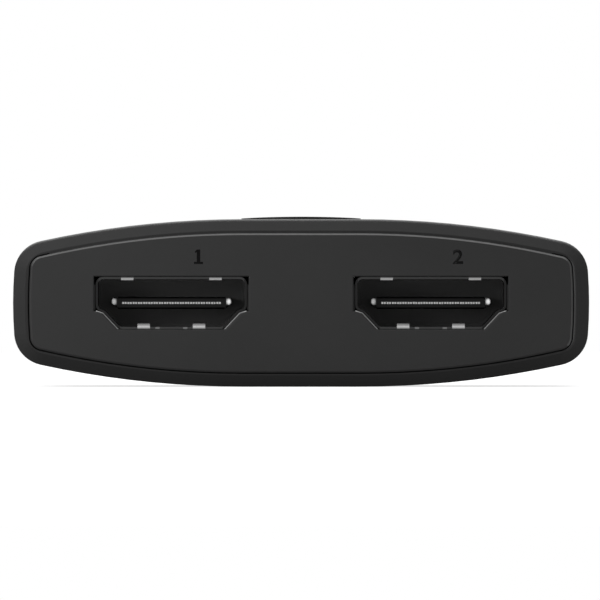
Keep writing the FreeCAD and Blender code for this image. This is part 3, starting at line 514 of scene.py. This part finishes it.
def clear_plastic(name, shade, roughness):
    """Slightly clouded clear resin."""
    material, surface = new_material(name)
    cloud = noise(material, scale=1500, detail=3)
    colour = blend_colours(material, spread_noise(material, cloud), toned(shade, CLOUD_SHADE), shade)
    link(material, colour, surface.inputs["Base Color"])
    gloss = spread_noise(material, cloud, roughness, roughness + CLOUD_ROUGH)
    link(material, gloss, surface.inputs["Roughness"])
    link(material, soft_edges(material, CLEAR_EDGE * MM), surface.inputs["Normal"])
    surface.inputs["Transmission Weight"].default_value = 0.5
    surface.inputs["IOR"].default_value = 1.49
    return material


# Metals

def sheet_metal(name, shade, roughness, edge):
    """Rolled strip: fine streaks along the depth and a little tarnish."""
    material, surface = new_material(name)
    surface.inputs["Metallic"].default_value = 1.0
    streaks = noise(material, scale=5000, detail=3, stretch=(1, 0.06, 1))
    colour = blend_colours(material, spread_noise(material, streaks), toned(shade, TARNISH), shade)
    link(material, colour, surface.inputs["Base Color"])
    gloss = spread_noise(material, streaks, roughness - STREAK_SMOOTH, roughness + STREAK_ROUGH)
    link(material, gloss, surface.inputs["Roughness"])
    relief = bump(material, streaks, STREAK_DEPTH * MM, soft_edges(material, edge * MM))
    link(material, relief, surface.inputs["Normal"])
    return material


def shell_plating(port):
    """Black plating with painted light on its front edge, a painted glint at the detents, and painted
    highlights on the four spring fingers that meet a plug.
    """
    material = sheet_metal(f"{port}_shell_plating", SHELL_SHADE, roughness=0.42, edge=0.04)
    across, middle_level = port_middle(port)
    x, _y, z = axes(material)
    offset = away(material, x, across)
    level = calculate(material, "SUBTRACT", z, middle_level)
    shoulder = all_of(material, below(material, level, -SHOULDER_LOW * MM),
                      above(material, offset, FLOOR_WIDTH / 2 * MM))
    aside = calculate(material, "MAXIMUM", shoulder, above(material, offset, SHELL_SIDE * MM))
    # Painted light on the front edge: fainter on the sloping shoulders and the sides
    edge = blend_colours(material, aside, SHELL_EDGE_PAINTED_LIGHT, SHELL_SIDE_PAINTED_LIGHT)
    near_detent = below(material, away(material, offset, DETENT_SPACING / 2 * MM), DETENT_WIDTH / 2 * MM)
    detent = all_of(material, near_detent, below(material, level, -DETENT_LOW * MM))
    # Painted glint on the two detents in the floor's front edge
    painted_edge_light = blend_colours(material, detent, edge, DETENT_HIGHLIGHT)
    recolour(material, above(material, away(material, facing(material)[1]), FACING_OUT), painted_edge_light)
    roof = above(material, level, 0.0)
    middle = spread(material, roof, 0, 1, FLOOR_FINGER_SPACING / 2 * MM, ROOF_FINGER_SPACING / 2 * MM)
    finger = below(material, away(material, offset, middle), (FINGER_WIDTH / 2 + FINGER_MARGIN) * MM)
    from_floor = spread(material, level, -FINGER_REACH * MM, FINGER_REACH * MM)
    # Painted highlights on the spring fingers, in levels that change from the floor to the roof
    recolour(material, finger, greys(material, from_floor, FINGER_HIGHLIGHT_GREYS))
    return material


def ear_plating(port):
    """Bright sheet at the sides of the tongue, the right-hand ear lighter as a painted highlight, with
    painted shade darkening its rounded rim.
    """
    material = sheet_metal(f"{port}_ear_plating", EAR_SHADE, roughness=0.3, edge=0.2)
    low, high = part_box(f"{port}_mid_plate")
    middle = (low[0] + high[0]) / 2
    ear = (high[0] - low[0]) / 2 - EAR_MIDDLE * MM
    x, _y, z = axes(material)
    from_ear = calculate(material, "SUBTRACT", away(material, x, middle), ear)
    aside = calculate(material, "MULTIPLY", EAR_STRETCH, from_ear)
    rise = calculate(material, "SUBTRACT", z, (low[2] + high[2]) / 2)
    squares = [calculate(material, "MULTIPLY", length, length) for length in (aside, rise)]
    distance = calculate(material, "SQRT", calculate(material, "ADD", *squares))
    # Painted highlight on the right-hand ear
    recolour(material, above(material, x, middle), RIGHT_EAR_HIGHLIGHT)
    # Painted shade darkening the ear outwards from its middle, so that it reads as rounded
    recolour(material, spread(material, distance, *(length * MM for length in EAR_PAINTED_SHADE_FADE)), EAR_RIM_PAINTED_SHADE)
    return material


def contact_plating(port):
    """Pale plating; dark stripes of painted shade at a fine pitch stand for grooves across the tips, so the
    row reads as fine beads.
    """
    material = sheet_metal(f"{port}_contact_plating", CONTACT_SHADE, roughness=0.3, edge=0.04)
    low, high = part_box(f"{port}_contacts")
    offset = calculate(material, "SUBTRACT", axes(material)[0], (low[0] + high[0]) / 2)
    beads = calculate(material, "DIVIDE", offset, BEAD_PITCH * MM)
    from_groove = calculate(material, "PINGPONG", beads, 0.5)
    # Painted shade in the grooves
    recolour(material, below(material, from_groove, GROOVE_SHARE), GROOVE_PAINTED_SHADE)
    return material


# Board and print

def circuit_board_finish():
    """Solder mask over copper: wandering lighter runs under a glossy green skin."""
    material, surface = new_material("board_mask")
    runs = noise(material, scale=700, detail=1, stretch=(1, 0.25, 1))
    colour = blend_colours(material, spread_noise(material, runs), *MASK_SHADES)
    link(material, colour, surface.inputs["Base Color"])
    link(material, bump(material, runs, MASK_DEPTH * MM), surface.inputs["Normal"])
    surface.inputs["Roughness"].default_value = 0.3
    return material


def gloss_print():
    """Black pad print, glossier than the panel under it."""
    material, surface = new_material("gloss_print")
    ink = noise(material, scale=3000, detail=2)
    colour = blend_colours(material, spread_noise(material, ink), *INK_SHADES)
    link(material, colour, surface.inputs["Base Color"])
    link(material, spread_noise(material, ink, *INK_ROUGHNESS), surface.inputs["Roughness"])
    surface.inputs["Specular IOR Level"].default_value = 0.06
    return material


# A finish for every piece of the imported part

def dress(mesh, material):
    mesh.materials.clear()
    mesh.materials.append(material)


def finish_nodes():
    sleeve = sleeve_plastic()
    panel = panel_plastic()
    button = moulded_plastic("button_plastic", SLEEVE_SHADE, roughness=0.42, edge=0.15, painted_top_light=0.5)
    bright = sheet_metal("bright_sheet", BRIGHT_SHADE, roughness=0.3, edge=0.2)
    resin = moulded_plastic("chip_resin", RESIN_SHADE, roughness=0.55, edge=0.05)
    ceramic = moulded_plastic("capacitor_ceramic", CERAMIC_SHADE, roughness=0.35, edge=0.08)
    lamp = clear_plastic("lamp_resin", LAMP_SHADE, roughness=0.2)
    pipe = clear_plastic("light_pipe_plastic", PIPE_SHADE, roughness=0.25)
    finishes = {
        "outer_sleeve": sleeve, "front_panel": panel, "rear_panel": panel, "select_button": button,
        "circuit_board": circuit_board_finish(), "switch_case": resin, "switch_plunger": resin,
        "switch_cover": bright, "switch_dome": bright, "switch_terminals": bright, "switch_chip": resin,
        "support_chips": resin, "chip_capacitors": ceramic, "port_1_lamp": lamp, "port_2_lamp": lamp,
        "light_pipe_1": pipe, "light_pipe_2": pipe,
    }
    for port in PORTS:
        finishes[f"{port}_shell"] = shell_plating(port)
        finishes[f"{port}_insulator"] = insulator_plastic(port)
        finishes[f"{port}_contacts"] = contact_plating(port)
        finishes[f"{port}_mid_plate"] = ear_plating(port)
    for node, material in finishes.items():
        dress(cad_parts[node].data, material)


def finish_of(node):
    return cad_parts[node].data.materials[0]


# Stage, light and camera

def toward_viewer(tree):
    """1 for rays from the camera and for what mirrors or passes them, else 0."""
    path = tree.nodes.new("ShaderNodeLightPath")
    value = path.outputs["Is Camera Ray"]
    for other in ("Is Glossy Ray", "Is Transmission Ray"):
        either = tree.nodes.new("ShaderNodeMath")
        either.operation = "MAXIMUM"
        tree.links.new(value, either.inputs[0])
        tree.links.new(path.outputs[other], either.inputs[1])
        value = either.outputs["Value"]
    return value


def make_floor():
    """A pale floor that keeps the shadow, shows white to the camera and is clear from below."""
    bpy.ops.mesh.primitive_plane_add(size=FLOOR_SIDE, location=(0, 0, -FLOOR_DROP))
    floor = bpy.context.object
    floor.name = "floor"
    material, surface = new_material("floor_white")
    pale = spread_noise(material, noise(material, scale=3))
    link(material, blend_colours(material, pale, *FLOOR_SHADES), surface.inputs["Base Color"])
    surface.inputs["Roughness"].default_value = 0.9
    surface.inputs["Specular IOR Level"].default_value = 0.0
    surface.inputs["Emission Color"].default_value = WHITE
    glow = calculate(material, "MULTIPLY", toward_viewer(material.node_tree), FLOOR_GLOW)
    link(material, glow, surface.inputs["Emission Strength"])
    nodes = material.node_tree.nodes
    see_through = nodes.new("ShaderNodeMixShader")
    link(material, nodes.new("ShaderNodeNewGeometry").outputs["Backfacing"], see_through.inputs["Fac"])
    link(material, surface.outputs["BSDF"], see_through.inputs[1])
    link(material, nodes.new("ShaderNodeBsdfTransparent").outputs["BSDF"], see_through.inputs[2])
    link(material, see_through.outputs["Shader"], nodes["Material Output"].inputs["Surface"])
    floor.data.materials.append(material)


def make_world():
    """White where the camera looks past the object, and an even fill for everything else."""
    world = bpy.data.worlds.new("studio")
    bpy.context.scene.world = world
    world.use_nodes = True
    nodes = world.node_tree.nodes
    nodes.clear()
    links = world.node_tree.links
    mix = nodes.new("ShaderNodeMixShader")
    links.new(toward_viewer(world.node_tree), mix.inputs["Fac"])
    for slot, strength in ((1, FILL_LEVEL), (2, SEEN_LEVEL)):
        background = nodes.new("ShaderNodeBackground")
        background.inputs["Color"].default_value = WHITE
        background.inputs["Strength"].default_value = strength
        links.new(background.outputs["Background"], mix.inputs[slot])
    links.new(mix.outputs["Shader"], nodes.new("ShaderNodeOutputWorld").inputs["Surface"])


def softbox(name, place, width, height, power):
    light = bpy.data.lights.new(name, "AREA")
    light.shape = "RECTANGLE"
    light.size = width
    light.size_y = height
    light.energy = power
    item = bpy.data.objects.new(name, light)
    bpy.context.collection.objects.link(item)
    item.location = place
    item.visible_camera = False
    direction = Vector(LIGHT_TARGET) - item.location
    item.rotation_euler = direction.to_track_quat("-Z", "Y").to_euler()


def make_lights():
    for box in SOFTBOXES:
        softbox(*box)


def make_camera():
    camera = bpy.data.cameras.new("camera")
    camera.sensor_width = CAMERA_SENSOR / MM
    visible_width = PICTURE_SIDE / PIXELS_PER_MM * MM
    camera.lens = camera.sensor_width * CAMERA_DISTANCE / visible_width
    camera.clip_end = CAMERA_REACH
    item = bpy.data.objects.new("camera", camera)
    bpy.context.collection.objects.link(item)
    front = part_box("front_panel")[0][1]
    low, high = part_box("outer_sleeve")
    middle = (low[2] + high[2]) / 2
    across = (PICTURE_SIDE / 2 - BODY_CENTRE_PIXEL[0]) / PIXELS_PER_MM * MM
    up = (BODY_CENTRE_PIXEL[1] - PICTURE_SIDE / 2) / PIXELS_PER_MM * MM
    item.location = (across, front - CAMERA_DISTANCE, middle + up)
    item.rotation_euler = (math.pi / 2, 0, 0)
    bpy.context.scene.camera = item


# Pieces that only the scene holds

def add_object(name, vertices, faces):
    mesh = bpy.data.meshes.new(name)
    mesh.from_pydata(vertices, [], faces)
    shape = bmesh.new()
    shape.from_mesh(mesh)
    bmesh.ops.recalc_face_normals(shape, faces=shape.faces[:])
    shape.to_mesh(mesh)
    shape.free()
    item = bpy.data.objects.new(name, mesh)
    bpy.context.collection.objects.link(item)
    return item


def add_piece(name, vertices, faces, material):
    """A closed form that is fixed to the housing."""
    item = add_object(name, vertices, faces)
    item.data.materials.append(material)
    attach(item, "housing")
    return item


def add_beam(name, vertices, material):
    """A closed beam whose corners come in fours, one section after another."""
    last = len(vertices) - 4
    faces = [(0, 1, 2, 3), (last + 3, last + 2, last + 1, last)]
    for start in range(0, last, 4):
        faces += [(start + side, start + 4 + side, start + 4 + (side + 1) % 4, start + (side + 1) % 4)
                  for side in range(4)]
    add_piece(name, vertices, faces, material)


# Numbers over the ports, printed on the front panel

def thicken(mesh, depth):
    """Turns a flat print that faces the front into a closed plate."""
    flat = bmesh.new()
    flat.from_mesh(mesh)
    bmesh.ops.remove_doubles(flat, verts=flat.verts, dist=WELD_DISTANCE * MM)
    made = bmesh.ops.extrude_face_region(flat, geom=flat.faces[:])
    moved = [part for part in made["geom"] if isinstance(part, bmesh.types.BMVert)]
    bmesh.ops.translate(flat, vec=(0, depth, 0), verts=moved)
    bmesh.ops.recalc_face_normals(flat, faces=flat.faces[:])
    flat.to_mesh(mesh)
    flat.free()


def make_figure_one(front):
    """A figure one with a small flag and a foot."""
    left, low = NUMBER_1_LEFT * MM, NUMBER_LOW * MM
    right, high = left + NUMBER_1_WIDTH * MM, low + NUMBER_HEIGHT * MM
    stroke = NUMBER_STROKE * MM
    stem = (left + right) / 2 - stroke / 2
    foot = low + FOOT_SHARE * stroke
    flag = stem - FLAG_REACH * stroke
    outline = [(left, low), (right, low), (right, foot), (stem + stroke, foot), (stem + stroke, high),
               (stem, high), (flag, high - FLAG_TOP * stroke), (flag, high - stroke),
               (stem, high - FLAG_ROOT * stroke), (stem, foot), (left, foot)]
    vertices = [(across, front, up) for across, up in outline]
    return add_object("port_number_1", vertices, [tuple(range(len(vertices)))])


def make_figure_two(front):
    """A figure two from the plain built-in lettering, fitted to its place."""
    curve = bpy.data.curves.new("figure_two", "FONT")
    curve.body = "2"
    curve.offset = NUMBER_2_WEIGHT
    letter = bpy.data.objects.new("figure_two", curve)
    bpy.context.collection.objects.link(letter)
    bpy.context.view_layer.update()
    mesh = bpy.data.meshes.new_from_object(letter.evaluated_get(bpy.context.evaluated_depsgraph_get()))
    bpy.data.objects.remove(letter)
    left, right = (pick(point.co.x for point in mesh.vertices) for pick in (min, max))
    low, high = (pick(point.co.y for point in mesh.vertices) for pick in (min, max))
    for point in mesh.vertices:
        across = (point.co.x - left) / (right - left) * NUMBER_2_WIDTH
        up = (point.co.y - low) / (high - low) * NUMBER_HEIGHT
        point.co = Vector(((NUMBER_2_LEFT + across) * MM, front, (NUMBER_LOW + up) * MM))
    item = bpy.data.objects.new("port_number_2", mesh)
    bpy.context.collection.objects.link(item)
    return item


def make_numbers():
    ink = gloss_print()
    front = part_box("front_panel")[0][1] - PRINT_PROUD * MM
    for item in (make_figure_one(front), make_figure_two(front)):
        thicken(item.data, PRINT_THICKNESS * MM)
        dress(item.data, ink)
        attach(item, "housing")


# Moulded frames that close the gap between each insulator and its shell

def inset_outline(outline, inset, radius):
    """A convex-and-hollow outline moved inwards, its square and wide corners rounded by an arc."""
    count = len(outline)
    bend = radius - inset
    moved = []
    for index in range(count):
        before, here, after = (Vector(outline[(index + shift) % count]) for shift in (-1, 0, 1))
        arriving, leaving = (here - before).normalized(), (after - here).normalized()
        normals = Vector((-arriving.y, arriving.x)), Vector((-leaving.y, leaving.x))
        mitre = (normals[0] + normals[1]) / (1 + normals[0].dot(normals[1]))
        turn = math.atan2(arriving.x * leaving.y - arriving.y * leaving.x, arriving.dot(leaving))
        corner = here + mitre * inset
        if turn < 0:
            moved += [tuple(corner)] * (CORNER_STEPS + 1)
            continue
        middle = corner + mitre * bend
        start = math.atan2(-normals[0].y, -normals[0].x)
        angles = [start + turn * step / CORNER_STEPS for step in range(CORNER_STEPS + 1)]
        moved += [(middle.x + bend * math.cos(angle), middle.y + bend * math.sin(angle)) for angle in angles]
    return moved


def make_rim(port):
    """A thin frame on the face of the insulator, just inside the shell's wall."""
    across, level = port_middle(port)
    low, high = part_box(f"{port}_shell")
    outward = -1 if low[1] < 0 else 1
    front = low[1] if outward < 0 else high[1]
    face = front - outward * BLOCK_SETBACK * MM
    outer = inset_outline(PORT_OUTLINE, PORT_RIM_OUTER, PORT_CORNER)
    inner = inset_outline(PORT_OUTLINE, PORT_RIM_INNER, PORT_CORNER)
    loops = ((outer, 0), (outer, PORT_RIM_DEPTH), (inner, PORT_RIM_DEPTH), (inner, 0))
    vertices = [(across + x * MM, face + outward * depth * MM, level + z * MM)
                for outline, depth in loops for x, z in outline]
    count = len(outer)
    faces = []
    for loop in range(len(loops)):
        start, following = loop * count, (loop + 1) % len(loops) * count
        for point in range(count):
            beside = (point + 1) % count
            faces.append((start + point, start + beside, following + beside, following + point))
    add_piece(f"{port}_rim", vertices, faces, finish_of(f"{port}_insulator"))


def make_rims():
    for port in PORTS:
        make_rim(port)


# Lips in the panels' cut-outs

def in_cut_out(port, points):
    """Moves points from a cut-out, in millimetres (across, depth, up), into the part's frame."""
    across, level = port_middle(port)
    outward = -1 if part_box(f"{port}_shell")[0][1] < 0 else 1
    low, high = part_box("front_panel" if outward < 0 else "rear_panel")
    face = low[1] if outward < 0 else high[1]
    return [(across + x * MM, face - outward * depth * MM, level + z * MM) for x, depth, z in points]


def make_lead_in(port, side, name, material):
    """A sloping lip in one side of a cut-out, down from the panel's face to the shell."""
    section = ((LEAD_OUTER, LEAD_START), (LEAD_INNER, LEAD_END),
               (LEAD_INNER, LIP_BACK), (LEAD_OUTER, LIP_BACK))
    points = [(side * x, depth, z) for z in (LEAD_LOW, LEAD_TOP) for x, depth in section]
    add_beam(f"{port}_lead_in_{name}", in_cut_out(port, points), material)


def make_lower_lip(port, side, name, material):
    """A sloping lip that fills the stepped lower corner between a cut-out and its shell."""
    points = []
    for inner, outer in zip(LOWER_INNER, LOWER_OUTER):
        section = ((outer, LOWER_START), (inner, LOWER_END), (inner, LIP_BACK), (outer, LIP_BACK))
        points += [(side * x, depth, z) for (x, z), depth in section]
    add_beam(f"{port}_lower_lip_{name}", in_cut_out(port, points), material)


def make_roof_seal(port, material):
    """A thin strip between a shell's roof and its cut-out, so that no light passes along the shell."""
    section = ((SEAL_START, SEAL_LOW), (SEAL_START, SEAL_HIGH), (LIP_BACK, SEAL_HIGH), (LIP_BACK, SEAL_LOW))
    points = [(x, depth, z) for x in (-SEAL_REACH, SEAL_REACH) for depth, z in section]
    add_beam(f"{port}_roof_seal", in_cut_out(port, points), material)


def make_lips():
    plastic = finish_of("front_panel")
    lip = lip_highlight_plastic()
    for port in PORTS:
        for side, name in ((-1, "left"), (1, "right")):
            make_lead_in(port, side, name, plastic)
            make_lower_lip(port, side, name, lip)
        make_roof_seal(port, plastic)


# Beads in the grooves over the panels

def crown_level(across, half_height, radius):
    """Height above its middle of a crowned outline: a flat strip between two arcs."""
    past_flat = max(abs(across) - CROWN_FLAT / 2, 0.0)
    return half_height - radius + math.sqrt(radius**2 - past_flat**2)


def make_crease(panel):
    """A bead that follows a panel's crown, so that the groove over it reads as a shallow crease."""
    low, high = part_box(panel)
    middle = (low[2] + high[2]) / 2
    half_height = (high[2] - low[2]) / 2 / MM
    face, inward = (low[1], 1) if panel == "front_panel" else (high[1], -1)
    vertices = []
    for step in range(CREASE_STEPS + 1):
        across = CREASE_REACH * (2 * step / CREASE_STEPS - 1)
        lower = crown_level(across, half_height, CROWN_RADIUS) + CREASE_MARGIN
        upper = crown_level(across, half_height + CREASE_WIDTH, CROWN_RADIUS + CREASE_WIDTH) - CREASE_MARGIN
        section = ((CREASE_START, lower), (CREASE_START, upper), (CREASE_END, upper), (CREASE_END, lower))
        vertices += [(across * MM, face + inward * depth * MM, middle + level * MM)
                     for depth, level in section]
    add_beam(f"{panel}_crease", vertices, finish_of(panel))


def make_creases():
    for panel in ("front_panel", "rear_panel"):
        make_crease(panel)


# Snap dome under the plunger

def smooth(share):
    """Eases from 0 to 1."""
    share = min(max(share, 0.0), 1.0)
    return share * share * (3 - 2 * share)


def dome_rings(outer, foot, crest, sheet):
    """Radius and level of the dome's rings, out along its top and back along its underside."""
    top = []
    for step in range(1, DOME_RINGS + 1):
        share = step / DOME_RINGS
        fall = smooth((share - DOME_CREST) / (1 - DOME_CREST))
        top.append((share * outer, foot + sheet + (crest - foot - sheet) * (1 - fall)))
    return top + [(radius, level - sheet) for radius, level in reversed(top)]


def make_dome():
    """A thin sheet bowed up to a flat crest."""
    low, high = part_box("switch_dome")
    centre = [(low[axis] + high[axis]) / 2 for axis in (0, 1)]
    sheet = DOME_SHEET * MM
    rings = dome_rings((high[0] - low[0]) / 2, low[2], high[2], sheet)
    turns = [2 * math.pi * step / DOME_SIDES for step in range(DOME_SIDES)]
    vertices = [(*centre, high[2])]
    for radius, level in rings:
        vertices += [(centre[0] + radius * math.cos(turn), centre[1] + radius * math.sin(turn), level)
                     for turn in turns]
    vertices.append((*centre, high[2] - sheet))
    last = len(vertices) - 1
    faces = [(0, 1 + side, 1 + (side + 1) % DOME_SIDES) for side in range(DOME_SIDES)]
    for ring in range(len(rings) - 1):
        start = 1 + ring * DOME_SIDES
        following = start + DOME_SIDES
        for side in range(DOME_SIDES):
            beside = (side + 1) % DOME_SIDES
            faces.append((start + side, following + side, following + beside, start + beside))
    start = last - DOME_SIDES
    faces += [(last, start + (side + 1) % DOME_SIDES, start + side) for side in range(DOME_SIDES)]
    dome = add_piece("snap_dome", vertices, faces, finish_of("switch_dome"))
    for face in dome.data.polygons:
        face.use_smooth = True
    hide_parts("switch_dome")
    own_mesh(dome)


finish_nodes()
make_numbers()
make_rims()
make_lips()
make_creases()
make_dome()
make_floor()
make_world()
make_lights()
make_camera()
bpy.context.scene.view_settings.view_transform = "Standard"
